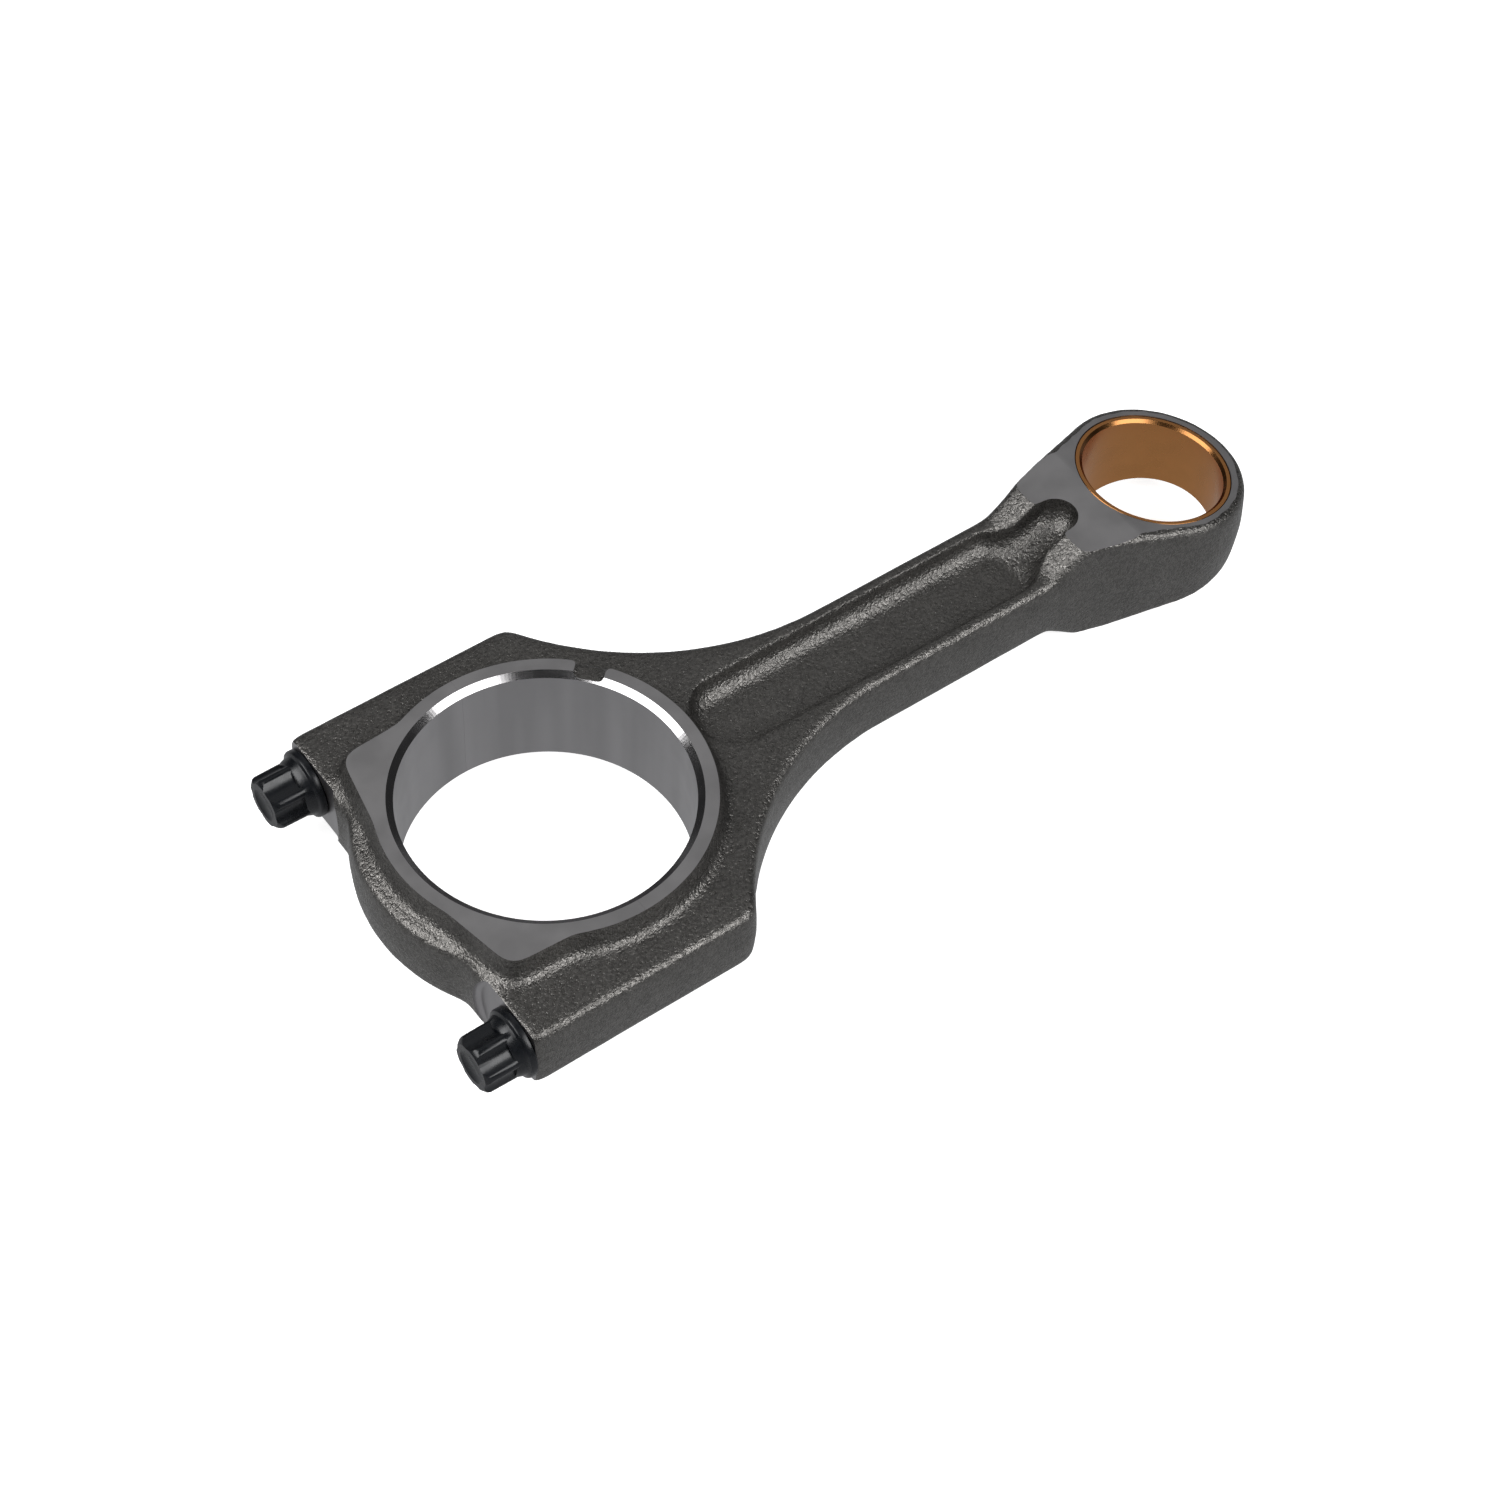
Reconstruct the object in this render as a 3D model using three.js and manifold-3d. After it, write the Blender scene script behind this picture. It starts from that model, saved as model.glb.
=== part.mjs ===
// Connecting rod of a small four-stroke engine: a forged I-beam rod with a split big end.
//
// Frame, in millimetres: +X runs from the big end to the small end, +Z is square to the side
// faces, and the origin is at the bottom centre of the whole part as it lies on its side.
// Pieces are drawn around the crank centre at mid-thickness and moved there at the end.

import * as THREE from 'three';
import { mergeVertices } from 'three/addons/utils/BufferGeometryUtils.js';
import Module from 'manifold-3d';

const wasm = await Module();
wasm.setup();

// Overall sizes
const CENTRE_DISTANCE = 142.3;
const CRANK_BORE_R = 27;
const PIN_BORE_R = 14;
const THRUST_HALF = 11.8;        // half of the big end's width over its side faces
const SMALL_END_HALF = 11.9;     // half of the small end's width over its flat pads
const FORGED_HALF = 7;           // half of the height of the forged beam and bolt bosses

// Bolts
const BOLT_R = 4.5;
const BOLT_WALL = 2.5;           // between the crank bore and a bolt's side
const BOLT_SPREAD = CRANK_BORE_R + BOLT_WALL + BOLT_R;
const BOLT_SEAT_STEP = 1.9;      // from the bore's end to the face under the head
const BOLT_SEAT = CRANK_BORE_R + BOLT_SEAT_STEP;
const BOLT_TIP = 17.5;           // past the crank centre
const BOLT_TIP_CHAMFER = 1;
const BOLT_HOLE_FIT = 0.3;
const FLANGE_LIP = 2.2;
const FLANGE_R = BOLT_R + FLANGE_LIP;
const FLANGE_RIM = 1.6;
const FLANGE_HEIGHT = 3.6;
const HEAD_LIP = 1.05;
const HEAD_R = BOLT_R + HEAD_LIP; // over the lobes
const HEAD_LOBE_DEPTH = 1.1;
const HEAD_LOBES = 6;
const HEAD_HEIGHT = 6;
const HEAD_CHAMFER = 1.1;
const HEAD_GAP = 0.3;            // between the flange and its seat
const SPOTFACE_LIP = 5.3;        // cuts the boss's whole end and runs out into the strap
const SPOTFACE_R = FLANGE_R + SPOTFACE_LIP;
const SEAT_STOCK = 1.4;          // forged stock taken off the boss's end

// Big end
const RING_WALL = 3.85;          // width of the side face round the bore
const THRUST_RING_R = CRANK_BORE_R + RING_WALL;
const COLLAR_FLARE = 1.6;        // how far the raised collar spreads at its foot
const COLLAR_SINK = 1;           // how far the collar's flank runs on into the forging
const BORE_CHAMFER = 1.3;        // on the radius
const BORE_CHAMFER_DEPTH = 0.9;
const BOSS_WALL = 1.8;           // outside a bolt
const BOSS_HALF = BOLT_SPREAD + BOLT_R + BOSS_WALL;
const BOSS_CORNER_R = 2.5;
const STRAP_WALL = 8.7;
const CAP_R = CRANK_BORE_R + STRAP_WALL;
const NECK_R = 57.9;             // hollow curve from the boss to the beam
const EAR_OVERHANG = 0.3;        // of the flat cheek beside each bolt, past the bore's side
const CAP_EAR = CRANK_BORE_R + EAR_OVERHANG;
const EAR_SETBACK = 1.5;         // of the cheek's end from the bore's end
const CAP_EAR_END = CRANK_BORE_R - EAR_SETBACK;
const CAP_EAR_R = 2;
const CAP_EAR_ROOT_ANGLE = 115;  // degrees, where the cheek's side leaves the ring
const CAP_EAR_TIP_ANGLE = 158;   // degrees, where its end runs back into the ring
const NOTCH_ANGLE = 40;          // degrees from the beam, middle of the shell-tang notch
const NOTCH_WIDTH = 6.2;
const NOTCH_DEPTH = 0.7;
const PARTING_GAP = 0.3;         // between the rod and the cap

// Bush
const BUSH_WALL = 1.5;
const BUSH_FIT = 0.15;
const BUSH_RECESS = 0.15;        // below the eye's side faces

// Small end
const EYE_WALL = 3.15;
const EYE_R = PIN_BORE_R + BUSH_WALL + BUSH_FIT + EYE_WALL; // at the parting line, half-way up
const EYE_NEAR = CENTRE_DISTANCE - EYE_R;
const FLARE_ANGLE = 16.5;        // degrees, from the beam's side to the eye
const FLARE_R = 40;
const PAD_REACH = 8;             // from the eye towards the beam
const PAD_START = EYE_NEAR - PAD_REACH;
const RAMP_LENGTH = 7;
const RAMP_START = PAD_START - RAMP_LENGTH;
const PAD_MARGIN = 0.5;          // of flat pad before the pin bore
const PAD_END = CENTRE_DISTANCE - PIN_BORE_R - PAD_MARGIN; // the taper starts here
const TAPER_ANGLE = 8.05;        // degrees, on each side face of the eye

// Beam and pockets
const BEAM_HALF = 11.2;
const NECK_REACH = 41;           // from the bore to where the hollow curve meets the beam
const BEAM_START = CRANK_BORE_R + NECK_REACH;
const POCKET_MARGIN = 6.3;       // between the crank bore and the pocket
const POCKET_START = CRANK_BORE_R + POCKET_MARGIN;
const POCKET_RIM = 3.1;          // width of the beam's edge beside the pocket
const POCKET_HALF = BEAM_HALF - POCKET_RIM;
const TONGUE_MARGIN = 1.7;       // between the pocket's tongue and the eye
const POCKET_END = EYE_NEAR - TONGUE_MARGIN;
const TONGUE_LENGTH = 8.8;
const POCKET_NARROW = POCKET_END - TONGUE_LENGTH;
const SHOULDER_LENGTH = 9;
const POCKET_SHOULDER = POCKET_NARROW - SHOULDER_LENGTH;
const TONGUE_HALF = 4.2;
const WEB_HALF = 2.6;
const POCKET_FILLET = 3.2;

// Forging
const FLASH_LAND = 1;            // height of the straight band at the parting line
const EDGE_ROUND = 0.9;
const EDGE_ROUND_HEIGHT = 2.2;
const EYE_DRAFT = 0.7;

const CUT_OVER = 5;              // how far a cutting shape runs past what it cuts
const OVERLAP = 1;               // how far joined shapes run into each other
const SAME_POINT = 0.01;
const ARC_STEPS = 18;
const ROUND_STEPS = 5;
const LOBE_STEPS = 8;
const FILLET_STEPS = 3;
const BORE_SEGMENTS = 96;
const HOLE_SEGMENTS = 32;
const UP = 1;                    // sides of the centre line, and of the split
const DOWN = -1;

// ---------------------------------------------------------------------------------------------
// Solids

function toSolid(geometry) {
  const bare = geometry.clone();
  bare.deleteAttribute('normal');
  bare.deleteAttribute('uv');
  const merged = mergeVertices(bare);
  const mesh = new wasm.Mesh({
    numProp: 3,
    vertProperties: new Float32Array(merged.attributes.position.array),
    triVerts: new Uint32Array(merged.index.array),
  });
  return new wasm.Manifold(mesh);
}

function toMesh(name, solid, look) {
  const data = solid.getMesh();
  const geometry = new THREE.BufferGeometry();
  geometry.setAttribute('position', new THREE.BufferAttribute(new Float32Array(data.vertProperties), 3));
  geometry.setIndex(new THREE.BufferAttribute(new Uint32Array(data.triVerts), 1));
  geometry.computeVertexNormals();
  const mesh = new THREE.Mesh(geometry, new THREE.MeshStandardMaterial(look));
  mesh.name = name;
  return mesh;
}

const united = (solids) => solids.reduce((whole, next) => whole.add(next));

// A slab centred on the parting plane whose outline shrinks by inset over the last rise of each
// side: in one step it is a drafted flank, in several a rounded edge.
function forged(shape, half, inset, rise, steps) {
  const geometry = new THREE.ExtrudeGeometry(shape, {
    depth: 2 * (half - rise),
    bevelThickness: rise,
    bevelSize: inset,
    bevelOffset: -inset,
    bevelSegments: steps,
  });
  geometry.translate(0, 0, rise - half);
  return toSolid(geometry);
}

// A slab whose outline lies in the XZ plane, from one side of the part to the other.
function sideSlab(shape, half) {
  const geometry = new THREE.ExtrudeGeometry(shape, { depth: 2 * half, bevelEnabled: false });
  geometry.rotateX(Math.PI / 2);
  geometry.translate(0, half, 0);
  return toSolid(geometry);
}

// Turns a profile of [radius, height] pairs about the Z axis at x. The profile starts and ends
// on the axis, or ends where it starts.
function turned(profile, x, segments) {
  const points = profile.map(([radius, height]) => new THREE.Vector2(radius, height));
  const geometry = new THREE.LatheGeometry(points, segments);
  geometry.rotateX(Math.PI / 2);
  geometry.translate(x, 0, 0);
  return toSolid(geometry);
}

// Turns a profile of [x, radius] pairs about a bolt's axis; it starts and ends on the axis.
function turnedOnBolt(profile, side) {
  const points = profile.map(([x, radius]) => new THREE.Vector2(radius, x));
  const geometry = new THREE.LatheGeometry(points, HOLE_SEGMENTS);
  geometry.rotateZ(-Math.PI / 2);
  geometry.translate(0, side * BOLT_SPREAD, 0);
  return toSolid(geometry);
}

// ---------------------------------------------------------------------------------------------
// Outlines, each drawn for +Y and mirrored

const radians = THREE.MathUtils.degToRad;
const onCircle = (x, radius, angle) => new THREE.Vector2(x + radius * Math.cos(angle), radius * Math.sin(angle));

function mirrored(half) {
  const back = half.slice().reverse().map((point) => new THREE.Vector2(point.x, -point.y));
  const ring = [...half, ...back];
  const kept = ring.filter((point, i) => point.distanceTo(ring[(i + 1) % ring.length]) > SAME_POINT);
  return new THREE.Shape(kept);
}

// Points along an arc between two angles, in radians, about a centre.
function arc(centre, radius, from, to, steps) {
  const points = [];
  for (let i = 0; i <= steps; i += 1) {
    const angle = from + ((to - from) * i) / steps;
    points.push(new THREE.Vector2(centre.x + radius * Math.cos(angle), centre.y + radius * Math.sin(angle)));
  }
  return points;
}

// A round corner of about the given radius between the lines to two neighbours.
function corner(before, tip, after, radius, steps) {
  const inward = before.clone().sub(tip).normalize();
  const outward = after.clone().sub(tip).normalize();
  const halfAngle = inward.angleTo(outward) / 2;
  const reach = radius / Math.tan(halfAngle);
  const start = tip.clone().addScaledVector(inward, reach);
  const end = tip.clone().addScaledVector(outward, reach);
  return new THREE.QuadraticBezierCurve(start, tip, end).getPoints(steps);
}

// From the beam's side, round the hollow flare, up the straight flank and round the eye.
function smallEndHalf() {
  const tilt = radians(FLARE_ANGLE);
  const touch = onCircle(CENTRE_DISTANCE, EYE_R, Math.PI / 2 + tilt);
  const footX = touch.x - (touch.y - BEAM_HALF) / Math.tan(tilt);
  const reach = FLARE_R * Math.tan(tilt / 2);
  const centre = new THREE.Vector2(footX - reach, BEAM_HALF + FLARE_R);
  const flare = arc(centre, FLARE_R, -Math.PI / 2, tilt - Math.PI / 2, ROUND_STEPS);
  const eye = arc(new THREE.Vector2(CENTRE_DISTANCE, 0), EYE_R, Math.PI / 2 + tilt, 0, ARC_STEPS);
  return [...flare, ...eye];
}

// The hollow curve from the beam's side to the bolt boss, in the direction of the boss.
function neckHalf() {
  const centre = new THREE.Vector2(BEAM_START, BEAM_HALF + NECK_R);
  const rise = Math.asin((centre.y - BOSS_HALF) / NECK_R);
  const all = arc(centre, NECK_R, -Math.PI / 2, rise - Math.PI, ARC_STEPS);
  const tip = all.pop();
  const outer = new THREE.Vector2(0, BOSS_HALF);
  return [...all, ...corner(all[all.length - 1], tip, outer, BOSS_CORNER_R, ROUND_STEPS)];
}

// The forged end of the boss, before the bolt's seat is cut, and the outside of the strap.
function capHalf() {
  const end = BOLT_SEAT + SEAT_STOCK;
  const tip = new THREE.Vector2(-end, BOSS_HALF);
  const strap = Math.acos(-end / CAP_R);
  const strapEnd = onCircle(0, CAP_R, strap);
  const edge = corner(new THREE.Vector2(0, BOSS_HALF), tip, strapEnd, BOSS_CORNER_R, ROUND_STEPS);
  return [...edge, ...arc(new THREE.Vector2(0, 0), CAP_R, strap, Math.PI, ARC_STEPS)];
}

function forgingOutline() {
  return mirrored([...smallEndHalf().reverse(), ...neckHalf(), ...capHalf()]);
}

function smallEndOutline() {
  const half = smallEndHalf();
  const start = new THREE.Vector2(Math.min(POCKET_SHOULDER, half[0].x - OVERLAP), BEAM_HALF);
  return mirrored([...half.reverse(), start]);
}

// The side faces of the big end: a ring with a flat cheek beside each bolt.
function thrustOutline() {
  const centre = new THREE.Vector2(0, 0);
  const root = radians(CAP_EAR_ROOT_ANGLE);
  const tip = radians(CAP_EAR_TIP_ANGLE);
  const ring = arc(centre, THRUST_RING_R, 0, root, ARC_STEPS * 2);
  const cheek = new THREE.Vector2(-CAP_EAR_END, CAP_EAR);
  const ear = corner(onCircle(0, THRUST_RING_R, root), cheek, onCircle(0, THRUST_RING_R, tip), CAP_EAR_R, ROUND_STEPS);
  const front = arc(centre, THRUST_RING_R, tip, Math.PI, ROUND_STEPS);
  return mirrored([...ring, ...ear, ...front]);
}

// The pocket: a round start, straight sides, and a tongue that runs up into the small end.
function pocketOutline() {
  const start = arc(
    new THREE.Vector2(POCKET_START + POCKET_HALF, 0), POCKET_HALF, Math.PI, Math.PI / 2, ARC_STEPS / 2,
  );
  const shoulder = new THREE.CubicBezierCurve(
    new THREE.Vector2(POCKET_SHOULDER, POCKET_HALF),
    new THREE.Vector2((POCKET_SHOULDER + POCKET_NARROW) / 2, POCKET_HALF),
    new THREE.Vector2((POCKET_SHOULDER + POCKET_NARROW) / 2, TONGUE_HALF),
    new THREE.Vector2(POCKET_NARROW, TONGUE_HALF),
  ).getPoints(ROUND_STEPS * 2);
  const end = arc(
    new THREE.Vector2(POCKET_END - TONGUE_HALF, 0), TONGUE_HALF, Math.PI / 2, 0, ROUND_STEPS,
  );
  return mirrored([...start, ...shoulder, ...end]);
}

// ---------------------------------------------------------------------------------------------
// Rod and cap, forged as one and split through the crank centre

// The level of the small end's side faces: up the ramp, along the pad and down the taper.
function smallEndBlock() {
  const end = CENTRE_DISTANCE + EYE_R + CUT_OVER;
  const endHalf = SMALL_END_HALF - (end - PAD_END) * Math.tan(radians(TAPER_ANGLE));
  const side = mirrored([
    new THREE.Vector2(POCKET_SHOULDER - CUT_OVER, FORGED_HALF - OVERLAP),
    new THREE.Vector2(RAMP_START, FORGED_HALF),
    new THREE.Vector2(PAD_START, SMALL_END_HALF),
    new THREE.Vector2(PAD_END, SMALL_END_HALF),
    new THREE.Vector2(end, endHalf),
  ]);
  const rise = SMALL_END_HALF - FLASH_LAND / 2;
  const block = forged(smallEndOutline(), SMALL_END_HALF, EYE_DRAFT, rise, 1);
  return block.intersect(sideSlab(side, BOSS_HALF));
}

function collar() {
  const rise = THRUST_HALF - FORGED_HALF + COLLAR_SINK;
  const grown = new THREE.ExtrudeGeometry(thrustOutline(), {
    depth: 2 * (THRUST_HALF - rise),
    bevelThickness: rise,
    bevelSize: COLLAR_FLARE,
    bevelOffset: 0,
    bevelSegments: 1,
  });
  grown.translate(0, 0, rise - THRUST_HALF);
  return toSolid(grown);
}

function pockets() {
  const reach = SMALL_END_HALF + CUT_OVER + POCKET_FILLET;
  const geometry = new THREE.ExtrudeGeometry(pocketOutline(), {
    depth: reach - POCKET_FILLET,
    bevelThickness: POCKET_FILLET,
    bevelSize: POCKET_FILLET,
    bevelOffset: -POCKET_FILLET,
    bevelSegments: FILLET_STEPS,
  });
  geometry.translate(0, 0, WEB_HALF + POCKET_FILLET);
  const upper = toSolid(geometry);
  return upper.add(upper.rotate([180, 0, 0]));
}

function crankBore() {
  const reach = THRUST_HALF + CUT_OVER;
  const wide = CRANK_BORE_R + BORE_CHAMFER;
  const flat = THRUST_HALF - BORE_CHAMFER_DEPTH;
  return turned([
    [0, -reach], [wide, -reach], [wide, -THRUST_HALF], [CRANK_BORE_R, -flat],
    [CRANK_BORE_R, flat], [wide, THRUST_HALF], [wide, reach], [0, reach],
  ], 0, BORE_SEGMENTS);
}

// The tang notch in one side face of the ring, open to the bore and to the outside.
function notch() {
  const depth = CUT_OVER + NOTCH_DEPTH;
  const inner = CRANK_BORE_R - CUT_OVER;
  const length = THRUST_RING_R + COLLAR_FLARE + OVERLAP - inner;
  const geometry = new THREE.BoxGeometry(length, NOTCH_WIDTH, depth);
  geometry.translate(inner + length / 2, 0, THRUST_HALF - NOTCH_DEPTH + depth / 2);
  geometry.rotateZ(radians(NOTCH_ANGLE));
  return toSolid(geometry);
}

// The bolt's hole runs right through, with a wide spotface under its head.
function boltHole(side) {
  const holeR = BOLT_R + BOLT_HOLE_FIT;
  const outer = -BOLT_SEAT - 2 * CUT_OVER;
  const far = BEAM_START;
  return turnedOnBolt([
    [outer, 0], [outer, SPOTFACE_R], [-BOLT_SEAT, SPOTFACE_R], [-BOLT_SEAT, holeR], [far, holeR], [far, 0],
  ], side);
}

function forging() {
  const body = forged(forgingOutline(), FORGED_HALF, EDGE_ROUND, EDGE_ROUND_HEIGHT, FILLET_STEPS);
  const eyeR = PIN_BORE_R + BUSH_WALL + BUSH_FIT;
  const eyeReach = SMALL_END_HALF + CUT_OVER;
  const eye = turned([[0, -eyeReach], [eyeR, -eyeReach], [eyeR, eyeReach], [0, eyeReach]],
    CENTRE_DISTANCE, BORE_SEGMENTS / 2);
  const solid = united([body, smallEndBlock(), collar()]);
  const cuts = united([
    pockets(), crankBore(), notch(), eye, boltHole(UP), boltHole(DOWN),
  ]);
  return solid.subtract(cuts);
}

// Everything on one side of the split, less half of the gap.
function partOfForging(whole, sign) {
  const size = 4 * CENTRE_DISTANCE;
  const geometry = new THREE.BoxGeometry(size, size, size);
  geometry.translate((sign * (size + PARTING_GAP)) / 2, 0, 0);
  return whole.intersect(toSolid(geometry));
}

// ---------------------------------------------------------------------------------------------
// Bush and bolts

// A plain bush whose ends follow the tapered side faces of the eye.
function bush() {
  const outer = PIN_BORE_R + BUSH_WALL;
  const reach = SMALL_END_HALF;
  const tube = turned([
    [PIN_BORE_R, -reach], [outer, -reach], [outer, reach], [PIN_BORE_R, reach], [PIN_BORE_R, -reach],
  ], CENTRE_DISTANCE, BORE_SEGMENTS / 2);
  const start = PAD_END - CUT_OVER;
  const end = CENTRE_DISTANCE + EYE_R;
  const slope = Math.tan(radians(TAPER_ANGLE));
  const level = (x) => SMALL_END_HALF - BUSH_RECESS - (x - PAD_END) * slope;
  const faces = mirrored([
    new THREE.Vector2(start, level(PAD_END)),
    new THREE.Vector2(PAD_END, level(PAD_END)),
    new THREE.Vector2(end, level(end)),
  ]);
  return tube.intersect(sideSlab(faces, BOSS_HALF));
}

function boltHead(side) {
  const points = [];
  const steps = HEAD_LOBES * LOBE_STEPS;
  for (let i = 0; i < steps; i += 1) {
    const angle = (2 * Math.PI * i) / steps;
    const radius = HEAD_R - (HEAD_LOBE_DEPTH * (1 - Math.cos(HEAD_LOBES * angle))) / 2;
    points.push(new THREE.Vector2(radius * Math.cos(angle), radius * Math.sin(angle)));
  }
  const geometry = new THREE.ExtrudeGeometry(new THREE.Shape(points), {
    depth: HEAD_HEIGHT,
    bevelThickness: HEAD_CHAMFER,
    bevelSize: HEAD_CHAMFER,
    bevelOffset: -HEAD_CHAMFER,
    bevelSegments: 1,
  });
  geometry.rotateY(-Math.PI / 2);
  geometry.translate(-BOLT_SEAT - FLANGE_HEIGHT + HEAD_CHAMFER, side * BOLT_SPREAD, 0);
  return toSolid(geometry);
}

function bolt(side) {
  const seat = -BOLT_SEAT - HEAD_GAP;
  const stem = turnedOnBolt([
    [-BOLT_SEAT - FLANGE_HEIGHT - HEAD_GAP, 0],
    [-BOLT_SEAT - FLANGE_HEIGHT - HEAD_GAP, HEAD_R],
    [seat - FLANGE_RIM, FLANGE_R],
    [seat, FLANGE_R],
    [seat, BOLT_R],
    [BOLT_TIP - BOLT_TIP_CHAMFER, BOLT_R],
    [BOLT_TIP, BOLT_R - BOLT_TIP_CHAMFER],
    [BOLT_TIP, 0],
  ], side);
  return stem.add(boltHead(side));
}

// ---------------------------------------------------------------------------------------------
// Assembly

const FORGED_STEEL = { color: 0x4a4846, roughness: 0.6, metalness: 0.85 };
const BRONZE = { color: 0xb0703a, roughness: 0.3, metalness: 1 };
const BLACK_STEEL = { color: 0x14161a, roughness: 0.35, metalness: 0.7 };

const whole = forging();
const assembly = new THREE.Group();
assembly.add(toMesh('rod', partOfForging(whole, UP), FORGED_STEEL));
assembly.add(toMesh('cap', partOfForging(whole, DOWN), FORGED_STEEL));
assembly.add(toMesh('bush', bush(), BRONZE));
assembly.add(toMesh('bolt_left', bolt(UP), BLACK_STEEL));
assembly.add(toMesh('bolt_right', bolt(DOWN), BLACK_STEEL));

// Stand the part on the origin, by the bottom centre of its box.
const box = new THREE.Box3().setFromObject(assembly);
const middle = box.getCenter(new THREE.Vector3());
assembly.position.set(-middle.x, -middle.y, -box.min.z);

export default assembly;
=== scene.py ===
import math
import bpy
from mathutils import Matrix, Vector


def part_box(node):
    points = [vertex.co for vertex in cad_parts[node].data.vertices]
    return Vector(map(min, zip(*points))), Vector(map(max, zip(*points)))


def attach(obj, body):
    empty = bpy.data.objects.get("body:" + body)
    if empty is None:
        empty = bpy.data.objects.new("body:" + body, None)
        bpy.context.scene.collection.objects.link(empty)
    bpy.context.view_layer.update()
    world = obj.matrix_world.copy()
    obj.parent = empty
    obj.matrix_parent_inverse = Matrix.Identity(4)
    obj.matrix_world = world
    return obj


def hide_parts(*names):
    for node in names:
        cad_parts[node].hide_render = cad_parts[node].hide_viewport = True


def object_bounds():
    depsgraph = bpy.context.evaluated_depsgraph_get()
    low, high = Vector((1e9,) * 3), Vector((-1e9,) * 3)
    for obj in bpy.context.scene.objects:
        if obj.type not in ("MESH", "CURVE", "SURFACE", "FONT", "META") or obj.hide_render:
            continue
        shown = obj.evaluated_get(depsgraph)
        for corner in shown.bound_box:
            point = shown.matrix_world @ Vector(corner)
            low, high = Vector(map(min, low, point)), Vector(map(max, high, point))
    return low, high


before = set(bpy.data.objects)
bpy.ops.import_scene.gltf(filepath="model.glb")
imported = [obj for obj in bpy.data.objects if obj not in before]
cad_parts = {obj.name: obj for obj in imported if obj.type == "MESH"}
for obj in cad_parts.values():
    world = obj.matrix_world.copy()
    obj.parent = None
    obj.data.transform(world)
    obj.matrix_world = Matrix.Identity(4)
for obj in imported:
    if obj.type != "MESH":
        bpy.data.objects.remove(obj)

from types import SimpleNamespace

import bmesh
import bpy
from bpy.props import FloatProperty, FloatVectorProperty, PointerProperty
from bpy.types import Operator, Panel, PropertyGroup
from mathutils import Matrix, Vector
from mathutils.geometry import interpolate_bezier

bl_info = {
    "name": "Connecting Rod",
    "version": (1, 0, 0),
    "blender": (4, 5, 0),
    "location": "View3D > Sidebar > Rod",
    "description": "Forged connecting rod with a bolted cap, a bush and its studio",
    "category": "Object",
}

MM = 0.001

# ---------------------------------------------------------------------------------------------
# Places taken from the frame, in metres

ROD_LOW, ROD_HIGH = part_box("rod")
CAP_LOW, CAP_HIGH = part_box("cap")
BUSH_LOW, BUSH_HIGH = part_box("bush")
BOLT_LOW, BOLT_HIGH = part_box("bolt_left")
CAD_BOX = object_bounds()

CRANK = Vector(((CAP_HIGH.x + ROD_LOW.x) / 2, 0, (ROD_LOW.z + ROD_HIGH.z) / 2))
PIN = (BUSH_LOW + BUSH_HIGH) / 2
CENTRES = (PIN.x - CRANK.x) / MM
BOLT_SPREAD = (BOLT_LOW.y + BOLT_HIGH.y) / 2 / MM
BOLT_TIP = (BOLT_HIGH.x - CRANK.x) / MM
BOLT_END = (CRANK.x - BOLT_LOW.x) / MM - 0.02
BUSH_OUTER = (BUSH_HIGH.y - BUSH_LOW.y) / 2 / MM


# ---------------------------------------------------------------------------------------------
# Sizes and colours that a user would change


def length(name, description, millimetres):
    return FloatProperty(
        name=name, description=description, default=millimetres * MM, unit="LENGTH", precision=5
    )


def colour(name, description, value):
    return FloatVectorProperty(
        name=name, description=description, default=value, subtype="COLOR", min=0, max=1
    )


class RodSizes(PropertyGroup):
    bore: length("Crank bore", "Radius of the big end's bore", 27)
    bore_chamfer: length("Bore chamfer", "Chamfer at each end of the crank bore, on the radius", 1.3)
    chamfer_depth: length("Chamfer depth", "Depth of the bore's chamfers", 0.9)
    thrust_half: length("Big end half width", "Half of the width over the ground side faces", 11.8)
    thrust_ring: length("Side face", "Radius of the ground ring round the bore", 30.85)
    small_half: length("Small end half width", "Half of the width over the small end's pads", 11.9)
    forged_half: length("Forged half height", "Half of the height of the beam and the bosses", 7.1)
    beam_half: length("Beam half width", "Half of the beam's width", 11.2)
    boss_half: length("Boss half width", "From the centre line to the boss's outer wall", 40.3)
    strap: length("Strap", "Outside radius of the cap's strap", 35.7)
    neck: length("Neck", "Radius of the hollow curve from boss to beam", 57.9)
    neck_end: length("Neck end", "Where the hollow curve meets the beam", 68)
    eye: length("Eye", "Outside radius of the small end", 18.8)
    seat: length("Bolt seat", "From the crank centre to the face under the bolt head", 28.9)
    web_half: length("Half web", "Half of the thickness left between the pockets", 2.3)
    pocket_half: length("Pocket half width", "Half of the pocket's width at its edge", 8.1)
    pin_bore: length("Pin bore", "Radius of the bush's bore", 14)
    bush_chamfer: length("Bush chamfer", "Chamfer at each end of the bush's bore", 0.6)
    thread: length("Thread radius", "Radius over the bolts' threads", 4.45)
    pitch: length("Thread pitch", "From one thread to the next", 1.25)
    flange: length("Bolt flange", "Radius of the flange under the bolt's head", 6.7)
    head: length("Bolt head", "Radius over the lobes of the bolt's head", 5.55)
    voxel: length("Forging detail", "Size of the cells that the forging is blended with", 0.5)


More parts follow.
